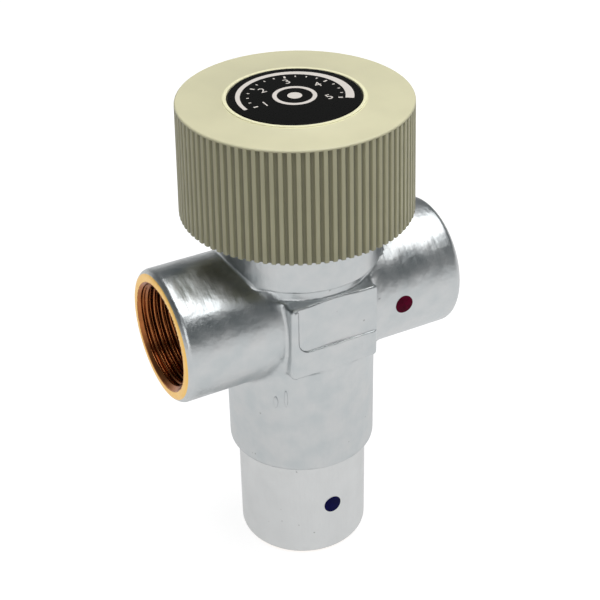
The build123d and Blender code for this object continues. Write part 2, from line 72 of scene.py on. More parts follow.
# Barrel, neck, collar and wrench block, in millimetres
barrel_r = 18.6
barrel_bottom_z = 30.0
neck_depth = 0.9
neck_r = barrel_r - neck_depth
neck_height = 3.5
block_half_width = 11.7
block_half_depth = 18.7
block_below_axis = 10.7
block_above_axis = 9.2
block_edge_r = 1.2
block_low_z = port_axis_z - block_below_axis
block_high_z = port_axis_z + block_above_axis
collar_bottom_z = block_high_z + neck_height
overlap = 2.0
face_step_below_axis = 3.3
face_step_z = port_axis_z - face_step_below_axis
face_step_left_x = -9.9
face_step_corner_r = 3.0
face_step_depth = 0.4
casting_mark_height = 0.4

# Roundings of the casting's edges and corners, in millimetres
chamfer_round_r = 0.45
barrel_edge_r = 0.5
collar_edge_r = 0.8
barrel_step_fillet_r = 1.2
tube_fillet_r = 1.6
neck_fillet_r = 0.8
collar_fillet_r = 0.8
block_fillet_r = 0.8
face_step_edge_r = 0.25
bore_edge_r = 0.3

# Passages inside the casting, in millimetres
bore_slack = 0.1
cutter_spare = 5.0
cold_passage_r = 8.0
cold_passage_low_z = 10.0
cold_passage_high_z = 25.0
guide_bore_r = 10.0
spring_ledge_z = 20.5
gallery_r = 15.0
gallery_bottom_z = 45.5
gallery_top_z = 57.5
seat_lip_r = 11.2
lip_top_z = 59.0
chamber_lower_r = 12.5
cage_bore_r = 14.2
cold_seat_z = 67.3
bonnet_bore_r = 16.0
bonnet_bottom_z = 82.5
outlet_passage_r = 7.0
outlet_passage_above_axis = 5.5

# Outside of the knob, in millimetres
lip_outer_r = 16.5
lip_height = 0.3
knob_top_z = knob_high[2] - lip_height
knob_bottom_z = knob_low[2]
knob_bottom_r = 28.0
knob_top_r = 27.4
knob_draft = (knob_bottom_r - knob_top_r) / (knob_top_z - knob_bottom_z)
knob_edge_r = 0.5
knob_foot_r = 0.35
rib_count = 88
groove_depth = 0.7
groove_half_width = 0.5
groove_end_below_top = 0.6
groove_end_z = knob_top_z - groove_end_below_top

# Inside of the knob, in millimetres
knob_wall = 3.0
knob_roof = 2.7
knob_seat_z = 112.0
knob_hub_r = 8.0
knob_hub_fillet_r = 0.4
screw_pocket_r = 5.2
screw_pocket_z = 119.1
drive_half_flats = 4.02
stop_rib_z = 102.1
stop_rib_inner_r = 21.42
stop_rib_half_width = 2.0
dial_pocket_depth = 2.2
dial_pocket_r = 15.6
dial_floor_z = knob_top_z - dial_pocket_depth

# Print on the dial, in millimetres and degrees from +X, seen from above
print_half_thickness = 0.02
scale_first_angle = 186.0
scale_last_angle = -36.0
band_outer_r = 13.5
band_first_inner_r = 12.6
band_last_inner_r = 11.5
tick_outer_r = 11.0
tick_count = 17
ticks_per_number = 4
number_count = 5
number_reach = 7.9
number_size = 3.4
centre_ring_inner_r = 4.1
centre_ring_outer_r = 5.1
centre_dot_r = 1.7


def principled(name, base, roughness, metallic=0.0):
    """New material with its Principled shader's plain values set, its node tree and its shader."""
    material = bpy.data.materials.new(name)
    material.use_nodes = True
    tree = material.node_tree
    shader = tree.nodes["Principled BSDF"]
    shader.inputs["Base Color"].default_value = (*base, 1.0)
    shader.inputs["Roughness"].default_value = roughness
    shader.inputs["Metallic"].default_value = metallic
    return material, tree, shader


def node(tree, kind, **values):
    """Adds a node and sets its input sockets by name."""
    made = tree.nodes.new(kind)
    for key, value in values.items():
        made.inputs[key].default_value = value
    return made


def object_place(tree, scales=(1.0, 1.0, 1.0)):
    """Object coordinates in millimetres times a scale for each axis, the same on every piece."""
    coords = tree.nodes.new("ShaderNodeTexCoord")
    mapping = tree.nodes.new("ShaderNodeMapping")
    mapping.inputs["Scale"].default_value = tuple(scale / MM for scale in scales)
    tree.links.new(coords.outputs["Object"], mapping.inputs["Vector"])
    return mapping.outputs["Vector"]


def axis_values(tree, place):
    """A place's X, Y and Z outputs."""
    axes = tree.nodes.new("ShaderNodeSeparateXYZ")
    tree.links.new(place, axes.inputs[0])
    return axes.outputs


def noise(tree, place, scale, detail=2.0, roughness=0.5):
    """Noise texture's factor output."""
    texture = node(tree, "ShaderNodeTexNoise", Scale=scale, Detail=detail, Roughness=roughness)
    tree.links.new(place, texture.inputs["Vector"])
    return texture.outputs["Fac"]


def ramp(tree, factor, stops):
    """Colour ramp with the given places and colours."""
    made = tree.nodes.new("ShaderNodeValToRGB")
    elements = made.color_ramp.elements
    while len(elements) < len(stops):
        elements.new(0.5)
    for element, (place, colour) in zip(elements, stops):
        element.position = place
        element.color = (*colour, 1.0)
    tree.links.new(factor, made.inputs["Fac"])
    return made.outputs["Color"]


def spread(tree, value, source, target):
    """Maps a value from one range to another, each a pair of ends."""
    made = tree.nodes.new("ShaderNodeMapRange")
    made.inputs["From Min"].default_value, made.inputs["From Max"].default_value = source
    made.inputs["To Min"].default_value, made.inputs["To Max"].default_value = target
    tree.links.new(value, made.inputs["Value"])
    return made.outputs["Result"]


def bump(tree, height, strength, distance, under=None):
    """Bump node's normal, its distance in millimetres, on top of another normal if one is given."""
    made = node(tree, "ShaderNodeBump", Strength=strength, Distance=distance * MM)
    tree.links.new(height, made.inputs["Height"])
    if under is not None:
        tree.links.new(under, made.inputs["Normal"])
    return made.outputs["Normal"]


def arithmetic(tree, operation, first, second=0.0):
    """Math node on one or two values, each a socket or a number."""
    made = tree.nodes.new("ShaderNodeMath")
    made.operation = operation
    for slot, value in zip(made.inputs, (first, second)):
        if isinstance(value, (int, float)):
            slot.default_value = value
        else:
            tree.links.new(value, slot)
    return made.outputs[0]


def mix_colours(tree, factor, first, second):
    """Mix of two colours, each a socket or a plain colour."""
    made = tree.nodes.new("ShaderNodeMix")
    made.data_type = "RGBA"
    tree.links.new(factor, made.inputs["Factor"])
    for name, value in (("A", first), ("B", second)):
        slot = [item for item in made.inputs if item.name == name and item.type == "RGBA"][0]
        if isinstance(value, tuple):
            slot.default_value = (*value, 1.0)
        else:
            tree.links.new(value, slot)
    return [item for item in made.outputs if item.type == "RGBA"][0]


def scaled(colour, factor, most=1.0):
    """A colour times a factor, no channel over the most."""
    return tuple(min(most, channel * factor) for channel in colour)


def plated_material():
    """Satin nickel plate on cast brass, bare brass where the port faces are machined, and painted
    light that makes the port below the barrel lighter.
    """
    dark_nickel = (0.54, 0.57, 0.58)
    light_nickel = (0.64, 0.652, 0.655)
    painted_light_low_port_nickel = (0.69, 0.7, 0.7)
    pit_colour = (0.16, 0.16, 0.155)
    machined_brass = (0.95, 0.6, 0.18)
    machined_depth = 0.3
    polished_from_z, polished_to_z = 44, 60
    material, tree, shader = principled("plated_brass_satin", (0.62, 0.63, 0.63), 0.3, 1.0)
    place = object_place(tree)
    axes = axis_values(tree, place)

    sideways = arithmetic(tree, "ABSOLUTE", axes["X"])
    side_face = arithmetic(tree, "GREATER_THAN", sideways, port_reach - machined_depth)
    cold_face = arithmetic(tree, "LESS_THAN", axes["Z"], machined_depth)
    machined = arithmetic(tree, "MAXIMUM", side_face, cold_face)

    wave = noise(tree, place, scale=0.2)
    nickel = ramp(tree, wave, [(0.3, dark_nickel), (0.7, light_nickel)])
    # painted light: the port below the barrel gets a lighter nickel colour to stand in for the
    # brighter light it catches
    low_port = arithmetic(tree, "LESS_THAN", axes["Z"], barrel_bottom_z)
    nickel = mix_colours(tree, low_port, nickel, painted_light_low_port_nickel)
    pits = spread(tree, noise(tree, place, scale=0.6, detail=1.0), (0.77, 0.82), (0.0, 0.5))
    nickel = mix_colours(tree, pits, nickel, pit_colour)
    colour = mix_colours(tree, machined, nickel, machined_brass)
    tree.links.new(colour, shader.inputs["Base Color"])

    by_height = spread(tree, axes["Z"], (polished_from_z, polished_to_z), (0.42, 0.33))
    uneven = spread(tree, wave, (0.3, 0.7), (-0.05, 0.06))
    tree.links.new(arithmetic(tree, "ADD", by_height, uneven), shader.inputs["Roughness"])

    skin = noise(tree, place, scale=1.4, detail=4.0, roughness=0.6)
    rough = bump(tree, skin, strength=0.5, distance=0.07)
    rings = noise(tree, object_place(tree, (0.9, 0.05, 0.05)), scale=1.0)
    ringed = bump(tree, rings, strength=0.5, distance=0.12, under=rough)
    waved = bump(tree, wave, strength=0.5, distance=0.5, under=ringed)
    tree.links.new(waved, shader.inputs["Normal"])
    return material


def brass_material(name, base, roughness):
    """Turned brass or copper with faint tool marks and a slight tarnish."""
    tarnish_shade = 0.72
    material, tree, shader = principled(name, base, roughness, 1.0)
    place = object_place(tree)
    tarnish = noise(tree, place, scale=0.35, detail=3.0)
    colour = ramp(tree, tarnish, [(0.35, scaled(base, tarnish_shade)), (0.65, base)])
    tree.links.new(colour, shader.inputs["Base Color"])
    grain = noise(tree, place, scale=4.0)
    tree.links.new(bump(tree, grain, strength=0.2, distance=0.02), shader.inputs["Normal"])
    return material


def steel_material():
    """Bright stainless steel wire and strip."""
    material, tree, shader = principled("stainless_bright", (0.62, 0.62, 0.6), 0.22, 1.0)
    grain = noise(tree, object_place(tree), scale=6.0)
    tree.links.new(spread(tree, grain, (0.3, 0.7), (0.16, 0.3)), shader.inputs["Roughness"])
    tree.links.new(bump(tree, grain, strength=0.1, distance=0.01), shader.inputs["Normal"])
    return material


def plastic_material(name, base, roughness, texture_scale, texture_strength):
    """Moulded plastic with a fine surface texture and slight unevenness."""
    material, tree, shader = principled(name, base, roughness)
    place = object_place(tree)
    cloud = noise(tree, place, scale=0.12)
    colour = ramp(tree, cloud, [(0.35, scaled(base, 0.98)), (0.65, scaled(base, 1.02))])
    tree.links.new(colour, shader.inputs["Base Color"])
    grain = noise(tree, place, texture_scale, detail=3.0)
    uneven = spread(tree, grain, (0.3, 0.7), (roughness - 0.05, roughness + 0.06))
    tree.links.new(uneven, shader.inputs["Roughness"])
    tree.links.new(bump(tree, grain, texture_strength, distance=0.03), shader.inputs["Normal"])
    return material


def knob_material(name, base, roughness):
    """Moulded knob: painted shade darkens the grooves between its ribs, and a painted highlight
    makes the lip around the dial paler.
    """
    painted_groove_shade = 0.42
    painted_lip_highlight = 1.3
    painted_lip_highlight_most = 0.9
    groove_start = 0.1
    material = plastic_material(name, base, roughness, texture_scale=3.0, texture_strength=0.12)
    tree = material.node_tree
    shader = tree.nodes["Principled BSDF"]
    plain = shader.inputs["Base Color"].links[0].from_socket
    axes = axis_values(tree, object_place(tree))
    across = arithmetic(tree, "POWER", axes["X"], 2)
    along = arithmetic(tree, "POWER", axes["Y"], 2)
    radius = arithmetic(tree, "SQRT", arithmetic(tree, "ADD", across, along))

    height = arithmetic(tree, "SUBTRACT", axes["Z"], knob_bottom_z)
    drawn_in = arithmetic(tree, "MULTIPLY", height, knob_draft)
    outside = arithmetic(tree, "SUBTRACT", knob_bottom_r, drawn_in)
    depth = arithmetic(tree, "SUBTRACT", outside, radius)
    below_top = arithmetic(tree, "LESS_THAN", axes["Z"], knob_top_z - knob_edge_r)
    outer = arithmetic(tree, "GREATER_THAN", radius, knob_bottom_r - knob_wall / 2)
    # painted shade: the groove floors are darkened to stand in for the shadow between the ribs
    groove = spread(tree, depth, (groove_start, groove_depth), (0.0, 1.0))
    groove = arithmetic(tree, "MULTIPLY", arithmetic(tree, "MULTIPLY", groove, below_top), outer)
    painted_shade_in_grooves = mix_colours(tree, groove, plain, scaled(base, painted_groove_shade))

    within_lip = arithmetic(tree, "LESS_THAN", radius, lip_outer_r + 0.1)
    above_floor = arithmetic(tree, "GREATER_THAN", axes["Z"], dial_floor_z)
    lip = arithmetic(tree, "MULTIPLY", within_lip, above_floor)
    # painted highlight: the lip around the dial is made paler to stand in for the sheen on its
    # glossy edge
    colour = mix_colours(tree, lip, painted_shade_in_grooves, scaled(base, painted_lip_highlight, painted_lip_highlight_most))
    tree.links.new(colour, shader.inputs["Base Color"])
    return material


def enamel_material(name, base):
    """Thick gloss enamel, brushed into its dimple."""
    specular_level = 0.05
    bright_shade = 1.6
    material, tree, shader = principled(name, base, 0.3)
    shader.inputs["Specular IOR Level"].default_value = specular_level
    dab = noise(tree, object_place(tree), scale=0.7)
    colour = ramp(tree, dab, [(0.4, base), (0.7, scaled(base, bright_shade))])
    tree.links.new(colour, shader.inputs["Base Color"])
    tree.links.new(bump(tree, dab, strength=0.4, distance=0.1), shader.inputs["Normal"])
    return material


def round_union(a, b, radius):
    """Union of two distances with a round fillet where they meet."""
    u = np.maximum(radius - a, 0.0)
    v = np.maximum(radius - b, 0.0)
    return np.maximum(radius, np.minimum(a, b)) - np.hypot(u, v)


def round_cut(a, b, radius):
    """Distance a with b taken away, its edge rounded."""
    return -round_union(-a, b, radius)


def box_distance(x, y, z, centre, half, edge):
    """Distance to a rounded box."""
    qx = np.abs(x - centre[0]) - half[0] + edge
    qy = np.abs(y - centre[1]) - half[1] + edge
    qz = np.abs(z - centre[2]) - half[2] + edge
    outside = np.sqrt(np.maximum(qx, 0) ** 2 + np.maximum(qy, 0) ** 2 + np.maximum(qz, 0) ** 2)
    return outside + np.minimum(np.maximum(qx, np.maximum(qy, qz)), 0) - edge


def chamfered_rod_distance(across, along, radius, low, high, size):
    """Distance to a cylinder with a chamfer at both ends, the chamfer's edges rounded."""
    over_side = across - radius
    over_end = np.abs(along - (low + high) / 2) - (high - low) / 2
    over_chamfer = (over_side + over_end + size) / math.sqrt(2)
    return -round_union(-np.maximum(over_side, over_end), -over_chamfer, chamfer_round_r)


def rod_distance(across, along, radius, low, high, edge=0.0):
    """Distance to a cylinder, from the distance to its axis and the place along it."""
    qr = across - radius + edge
    ql = np.abs(along - (low + high) / 2) - (high - low) / 2 + edge
    outside = np.hypot(np.maximum(qr, 0), np.maximum(ql, 0))
    return outside + np.minimum(np.maximum(qr, ql), 0) - edge


def outside_distance(x, y, z, upright, sideways):
    """Distance to the outside: cold port, barrel, neck, collar, side ports and wrench block."""
    port_end_z = barrel_bottom_z + port_into_barrel
    port = chamfered_rod_distance(upright, z, port_outer_r, 0, port_end_z, port_rim_chamfer)
    barrel = rod_distance(upright, z, barrel_r, barrel_bottom_z, block_high_z, barrel_edge_r)
    neck_low_z = barrel_bottom_z + overlap
    neck = rod_distance(upright, z, neck_r, neck_low_z, collar_bottom_z + overlap)
    barrel = round_union(barrel, neck, neck_fillet_r)
    collar = rod_distance(upright, z, collar_r, collar_bottom_z, collar_top_z, collar_edge_r)
    tubes = chamfered_rod_distance(
        sideways, x, port_outer_r, -port_reach, port_reach, port_rim_chamfer
    )
    block_centre = (0, 0, (block_low_z + block_high_z) / 2)
    block_half = (block_half_width, block_half_depth, (block_high_z - block_low_z) / 2)
    block = box_distance(x, y, z, block_centre, block_half, block_edge_r)
    solid = round_union(port, barrel, barrel_step_fillet_r)
    solid = round_union(solid, tubes, tube_fillet_r)
    solid = round_union(solid, collar, collar_fillet_r)
    solid = round_union(solid, block, block_fillet_r)

    step_x = np.maximum(face_step_left_x + face_step_corner_r - x, 0)
    step_z = np.maximum(face_step_z + face_step_corner_r - z, 0)
    step_outline = np.hypot(step_x, step_z) - face_step_corner_r
    step_outline = np.maximum(step_outline, z - block_high_z)
    step = np.maximum(step_outline, y + block_half_depth - face_step_depth)
    return round_cut(solid, step, face_step_edge_r)


def passage_distance(x, y, z, upright, sideways):
    """Distance to the hollow inside: the ports' bores, the chambers up the middle, the outlet."""
    bore_r = port_thread_r + bore_slack
    chambers = (
        (bore_r, -cutter_spare, port_thread_length),
        (cold_passage_r, cold_passage_low_z, cold_passage_high_z),
        (guide_bore_r, spring_ledge_z, gallery_bottom_z + overlap),
        (gallery_r, gallery_bottom_z, gallery_top_z),
        (seat_lip_r, gallery_top_z - overlap, lip_top_z + overlap),
        (chamber_lower_r, lip_top_z, cold_seat_z + overlap),
        (cage_bore_r, cold_seat_z, bonnet_bottom_z + overlap),
        (bonnet_bore_r, bonnet_bottom_z, collar_top_z + cutter_spare),
    )
    side_end = port_reach + cutter_spare
    hollow = rod_distance(sideways, np.abs(x), bore_r, port_bottom_x, side_end)
    for radius, low, high in chambers:
        hollow = np.minimum(hollow, rod_distance(upright, z, radius, low, high))
    around_outlet = np.hypot(y, z - port_axis_z - outlet_passage_above_axis)
    outlet_end = -port_bottom_x - overlap
    outlet = rod_distance(around_outlet, x, outlet_passage_r, outlet_end, 0)
    return np.minimum(hollow, outlet)


def casting_distance(x, y, z):
    """Distance to the cast body, in millimetres: the outside less the passages."""
    upright = np.hypot(x, y)
    sideways = np.hypot(y, z - port_axis_z)
    solid = outside_distance(x, y, z, upright, sideways)
    hollow = passage_distance(x, y, z, upright, sideways)
    return round_cut(solid, hollow, bore_edge_r)


def grid_lines(spans):
    """Grid lines from (start, end, step) spans that follow one another."""
    lines = []
    for start, end, step in spans:
        count = max(1, round((end - start) / step))
        lines.extend(np.linspace(start, end, count, endpoint=False))
    return np.append(np.array(lines), spans[-1][1])


def surface_net(xs, ys, zs, distance):
    """Closed quad mesh of the zero surface of a distance on a rectangular grid."""
    gx, gy, gz = np.meshgrid(xs, ys, zs, indexing="ij")
    values = distance(gx, gy, gz)
    inside = values < 0
    lines = (xs, ys, zs)
    shape = tuple(len(line) - 1 for line in lines)
    total = np.zeros(shape + (3,))
    count = np.zeros(shape)
    edges = []
    for axis in range(3):
        near = [slice(None)] * 3
        far = [slice(None)] * 3
        near[axis] = slice(None, -1)
        far[axis] = slice(1, None)
        near, far = tuple(near), tuple(far)
        index = np.argwhere(inside[near] != inside[far])
        a = values[near][tuple(index.T)]
        b = values[far][tuple(index.T)]
        share = a / (a - b)
        point = np.stack([lines[k][index[:, k]] for k in range(3)], 1).astype(float)
        step = lines[axis][index[:, axis] + 1] - lines[axis][index[:, axis]]
        point[:, axis] += share * step
        edges.append((axis, index, inside[near][tuple(index.T)]))
        u, v = (axis + 1) % 3, (axis + 2) % 3
        for du in (0, -1):
            for dv in (0, -1):
                cell = index.copy()
                cell[:, u] += du
                cell[:, v] += dv
                np.add.at(total, tuple(cell.T), point)
                np.add.at(count, tuple(cell.T), 1)
    used = np.argwhere(count > 0)
    number = -np.ones(shape, dtype=int)
    number[tuple(used.T)] = np.arange(len(used))
    points = total[tuple(used.T)] / count[tuple(used.T)][:, None]
    quads = []
    for axis, index, starts_inside in edges:
        u, v = (axis + 1) % 3, (axis + 2) % 3
        corners = []
        for du, dv in ((-1, -1), (0, -1), (0, 0), (-1, 0)):
            cell = index.copy()
            cell[:, u] += du
            cell[:, v] += dv
            corners.append(number[tuple(cell.T)])
        quad = np.stack(corners, 1)
        quad[~starts_inside] = quad[~starts_inside][:, ::-1]
        quads.append(quad)
    return points, np.concatenate(quads)


def slope(points, distance, reach=0.02):
    """Unit normals and gradient lengths of a distance at points."""
    parts = []
    for axis in range(3):
        offset = np.zeros(3)
        offset[axis] = reach
        ahead = distance(*(points + offset).T)
        behind = distance(*(points - offset).T)
        parts.append((ahead - behind) / (2 * reach))
    gradient = np.stack(parts, 1)
    length = np.maximum(np.linalg.norm(gradient, axis=1), 1e-6)
    return gradient / length[:, None], length


def settle(points, distance, rounds=3, most=0.25):
    """Moves points onto the zero surface along its normals."""
    for _ in range(rounds):
        normal, length = slope(points, distance)
        step = np.clip(distance(*points.T) / length, -most, most)
        points = points - normal * step[:, None]
    return points


def link_mesh(name, mesh, material):
    """New object in the scene for a mesh, with one material."""
    mesh.materials.clear()
    mesh.materials.append(material)
    made = bpy.data.objects.new(name, mesh)
    bpy.context.scene.collection.objects.link(made)
    return made


def mesh_object(name, points, faces, material):
    """New smooth object from points in millimetres."""
    mesh = bpy.data.meshes.new(name)
    mesh.from_pydata((np.asarray(points) * MM).tolist(), [], [tuple(face) for face in faces])
    mesh.shade_smooth()
    mesh.update()
    return link_mesh(name, mesh, material)


def make_casting(material):
    """Cast body with cast fillets, in place of the plain solid."""
    fine, coarse, finest = 0.57, 1.25, 0.2
    margin = 0.75
    rim_depth = 2.0
    end_x = port_reach - rim_depth
    middle_x = 21.5
    side_y = collar_r + 1.25
    before_face_y = -block_half_depth - 0.3
    behind_face_y = -block_half_depth + 0.7
    thread_end_z = 14.5
    barrel_start_z = 33.5
    barrel_end_z = 43.5
    step_reach = 0.8
    xs = grid_lines(
        [
            (-port_reach - margin, -end_x, fine),
            (-end_x, -middle_x, coarse),
            (-middle_x, middle_x, fine),
            (middle_x, end_x, coarse),
            (end_x, port_reach + margin, fine),
        ]
    )
    ys = grid_lines(
        [
            (-side_y, before_face_y, fine),
            (before_face_y, behind_face_y, finest),
            (behind_face_y, side_y, fine),
        ]
    )
    zs = grid_lines(
        [
            (-margin, rim_depth, fine),
            (rim_depth, thread_end_z, coarse),
            (thread_end_z, barrel_start_z, fine),
            (barrel_start_z, barrel_end_z, coarse),
            (barrel_end_z, face_step_z - step_reach, fine),
            (face_step_z - step_reach, face_step_z + step_reach, finest),
            (face_step_z + step_reach, collar_top_z + margin, fine),
        ]
    )
    points, quads = surface_net(xs, ys, zs, casting_distance)
    points = settle(points, casting_distance)
    made = mesh_object("cast_body", points, quads, material)
    normals, _ = slope(points, casting_distance)
    made.data.normals_split_custom_set_from_vertices(normals.tolist())
    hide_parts("valve_body")
    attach(made, "valve")


def make_casting_mark(name, angle, low, high, half_width, material):
    """Short upright rib left by the mould on the barrel's front, rounded off all round."""
    work = bmesh.new()
    bmesh.ops.create_uvsphere(work, u_segments=20, v_segments=14, radius=1.0)
    size = Matrix.Diagonal((casting_mark_height, half_width, (high - low) / 2, 1.0))
    place = Matrix.Translation((barrel_r, 0, (low + high) / 2)) @ size
    turn = Matrix.Rotation(math.radians(angle), 4, "Z")
    bmesh.ops.transform(work, matrix=Matrix.Scale(MM, 4) @ turn @ place, verts=work.verts)
    mesh = bpy.data.meshes.new(name)
    work.to_mesh(mesh)
    work.free()
    mesh.shade_smooth()
    made = link_mesh(name, mesh, material)
    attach(made, "valve")


def closed_faces(columns, size):
    """Corner numbers of the quads between columns of points that close both ways round."""
    for column in range(columns):
        this, following = column * size, (column + 1) % columns * size
        for k in range(size):
            after = (k + 1) % size
            yield this + k, this + after, following + after, following + k


def thread_radius(depths, angle, length):
    """Radius of a port's thread at depths below its mouth, along one line at an angle."""
    entry_depth = 1.25
    entry_spare = 0.3
    run_out_length = 2.0
    flank_steepness = 1.25
    crest_to_root = port_thread_r - thread_minor_r
    phase = (depths / thread_pitch + angle / (2 * math.pi)) % 1.0
    wave = 0.5 - 0.5 * np.cos(2 * math.pi * phase)
    wave = np.clip((wave - 0.5) * flank_steepness + 0.5, 0, 1)
    run_out = np.clip((length - depths) / run_out_length, 0, 1)
    radius = port_thread_r - crest_to_root * wave * run_out
    entry_rise = crest_to_root + entry_spare
    return np.maximum(radius, port_thread_r + entry_spare - depths / entry_depth * entry_rise)


def thread_sleeve(name, place, material):
    """Right-hand pipe thread of a port with its entry chamfer, cut along +Z before placing."""
    outer_r = port_thread_r + 0.35
    length = 15.4
    face_gap = 0.02
    rows_per_pitch = 8
    around = 96
    rows = int(length / thread_pitch * rows_per_pitch)
    depths = np.linspace(0, length, rows + 1)
    points = []
    for angle in np.linspace(0, 2 * math.pi, around, endpoint=False):
        radius = thread_radius(depths, angle, length)
        ring = list(zip(radius, depths + face_gap))
        ring += [(outer_r, length), (outer_r, face_gap)]
        r, z = np.array(ring).T
        points.append(np.stack([r * math.cos(angle), r * math.sin(angle), z], 1))
    faces = closed_faces(around, len(points[0]))
    made = mesh_object(name, np.concatenate(points), faces, material)
    made.data.transform(place)
    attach(made, "valve")


def rib_pitch_places():
    """Places across one rib's pitch, from the groove's middle, closer together at its walls."""
    half = [0.08, 0.15, 0.2, 0.235, 0.25, 0.28, 0.38]
    return [-0.5] + [-place for place in reversed(half)] + [0.0] + half


def groove_share(place):
    """Share of the groove's depth at a place across the pitch: a round bottom, a crowned rib."""
    wall_share = 0.22
    crown_share = 0.06
    crown_start = 0.25
    bottom_end = 0.96 * groove_half_width
    wall_end = 1.02 * groove_half_width
    across = abs(place) * 2 * math.pi * knob_bottom_r / rib_count
    if across < bottom_end:
        straight = groove_depth - groove_half_width
        return (straight + math.sqrt(groove_half_width**2 - across**2)) / groove_depth
    if across < wall_end:
        return wall_share
    over_rib = min(max((abs(place) - crown_start) / crown_start, 0.0), 1.0)
    return crown_share * (1 - over_rib) ** 2


def arc_points(centre_r, centre_z, radius, start, end, count):
    """Points of an arc in the radius and height plane, angles in degrees."""
    points = []
    for step in range(count + 1):
        angle = math.radians(start + (end - start) * step / count)
        points.append((centre_r + radius * math.cos(angle), centre_z + radius * math.sin(angle)))
    return points


def drafted(foot_r, z):
    """Radius at a height of a knob wall that starts from a radius at the foot."""
    return foot_r - knob_draft * (z - knob_bottom_z)


def knob_outer_rows():
    """Outside of the knob's outline from its foot to the dial's lip: kind, radius and height."""
    edge_z = knob_top_z - knob_edge_r
    edge_r = knob_top_r - knob_edge_r
    foot_z = knob_bottom_z + knob_foot_r
    foot = arc_points(knob_bottom_r - knob_foot_r, foot_z, knob_foot_r, -90, 0, 4)
    rows = [("rib", r, z) for r, z in foot]
    for share in (0.2, 0.4, 0.6, 0.8, 1.0):
        z = foot_z + share * (edge_z - foot_z)
        rows.append(("rib", drafted(knob_bottom_r, z), z))
    end_angle = math.degrees(math.asin((groove_end_z - edge_z) / knob_edge_r))
    for angle in (end_angle * 0.9, end_angle):
        rows.append(("rib", *arc_points(edge_r, edge_z, knob_edge_r, angle, angle, 1)[0]))
    smooth_start = end_angle + 5
    edge = arc_points(edge_r, edge_z, knob_edge_r, smooth_start, 90, 7)
    return rows + [("plain", r, z) for r, z in edge]


def knob_inner_rows():
    """Rest of the knob's outline, from the dial's lip through the hub to the mouth."""
    lip_z = knob_top_z + lip_height
    lip_foot = 0.12
    lip_outer_round = 0.15
    lip_inner_round = 0.12
    ceiling_z = dial_floor_z - knob_roof
    mouth_r = knob_bottom_r - knob_wall
    mouth_chamfer = 0.3
    ceiling_r = drafted(mouth_r, ceiling_z)
    ceiling_chamfer = 0.5
    stop_rib_end = 0.01
    outer_centre = (lip_outer_r - lip_outer_round, lip_z - lip_outer_round)
    inner_centre = (dial_pocket_r + lip_inner_round, lip_z - lip_inner_round)
    lip = arc_points(*outer_centre, lip_outer_round, 0, 90, 3)
    lip += arc_points(*inner_centre, lip_inner_round, 90, 180, 3)
    return [
        ("plain", lip_outer_r + lip_foot, knob_top_z),
        ("plain", lip_outer_r, knob_top_z + lip_foot / 2),
        *(("plain", r, z) for r, z in lip),
        ("plain", dial_pocket_r, dial_floor_z),
        ("plain", screw_pocket_r, dial_floor_z),
        ("plain", screw_pocket_r, screw_pocket_z),
        ("drive", drive_half_flats, screw_pocket_z),
        ("drive", drive_half_flats, knob_seat_z),
        ("plain", knob_hub_r, knob_seat_z),
        ("plain", knob_hub_r, ceiling_z - knob_hub_fillet_r),
        ("plain", knob_hub_r + knob_hub_fillet_r, ceiling_z),
        ("stop", ceiling_r - ceiling_chamfer, ceiling_z),
        ("stop", ceiling_r, ceiling_z - ceiling_chamfer),
        ("stop", drafted(mouth_r, stop_rib_z), stop_rib_z),
        ("plain", drafted(mouth_r, stop_rib_z), stop_rib_z - stop_rib_end),
        ("plain", mouth_r, knob_bottom_z + mouth_chamfer),
        ("plain", mouth_r + mouth_chamfer, knob_bottom_z),
    ]


def make_knob(material):
    """Ribbed knob, in place of the solid one: the same form with crowned ribs and a round foot."""
    rows = knob_outer_rows() + knob_inner_rows()
    pitch = 2 * math.pi / rib_count
    hexagon_side = math.pi / 3
    stop_half_angle = math.asin(stop_rib_half_width / stop_rib_inner_r)
    places = rib_pitch_places()
    points = []
    for rib in range(rib_count):
        for place in places:
            angle = (rib + place) * pitch
            depth = groove_depth * groove_share(place)
            off_flat = (angle + hexagon_side / 2) % hexagon_side - hexagon_side / 2
            off_front = abs((angle + math.pi / 2 + math.pi) % (2 * math.pi) - math.pi)
            for kind, r, z in rows:
                if kind == "rib":
                    r -= depth
                elif kind == "drive":
                    r /= math.cos(off_flat)
                elif kind == "stop" and off_front < stop_half_angle:
                    r = stop_rib_inner_r
                points.append((r * math.cos(angle), r * math.sin(angle), z))
    quads = closed_faces(rib_count * len(places), len(rows))
    faces = [(a, d, c, b) for a, b, c, d in quads]
    made = mesh_object("knob_cap", points, faces, material)
    made.data.set_sharp_from_angle(angle=math.radians(40))
    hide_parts("knob")
    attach(made, "knob_assembly")


def flat_print(name, outlines, material):
    """Printed shapes on the dial, each a thin layer with its outline given in millimetres."""
    low, high = dial_top_z - print_half_thickness, dial_top_z + print_half_thickness
    mesh = bpy.data.meshes.new(name)
    work = bmesh.new()
    for outline in outlines:
        lower = [work.verts.new((x * MM, y * MM, low * MM)) for x, y in outline]
        upper = [work.verts.new((x * MM, y * MM, high * MM)) for x, y in outline]
        count = len(outline)
        work.faces.new(list(reversed(lower)))
        work.faces.new(upper)
        for k in range(count):
            after = (k + 1) % count
            work.faces.new((lower[k], lower[after], upper[after], upper[k]))
    bmesh.ops.recalc_face_normals(work, faces=work.faces)
    work.to_mesh(mesh)
    work.free()
    made = link_mesh(name, mesh, material)
    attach(made, "knob_assembly")


def arc_band(inner, outer, start, end, count, inner_end=None):
    """Outline of a band along an arc, angles in degrees from +X and counted towards +Y."""
    inner_end = inner if inner_end is None else inner_end
    out_side, in_side = [], []
    for step in range(count + 1):
        share = step / count
        angle = math.radians(start + (end - start) * share)
        near = inner + (inner_end - inner) * share
        out_side.append((outer * math.cos(angle), outer * math.sin(angle)))
        in_side.append((near * math.cos(angle), near * math.sin(angle)))
    return out_side + list(reversed(in_side))


def scale_angle(step, steps):
    """Angle in degrees of a step along the printed scale."""
    return scale_first_angle + (scale_last_angle - scale_first_angle) * step / steps


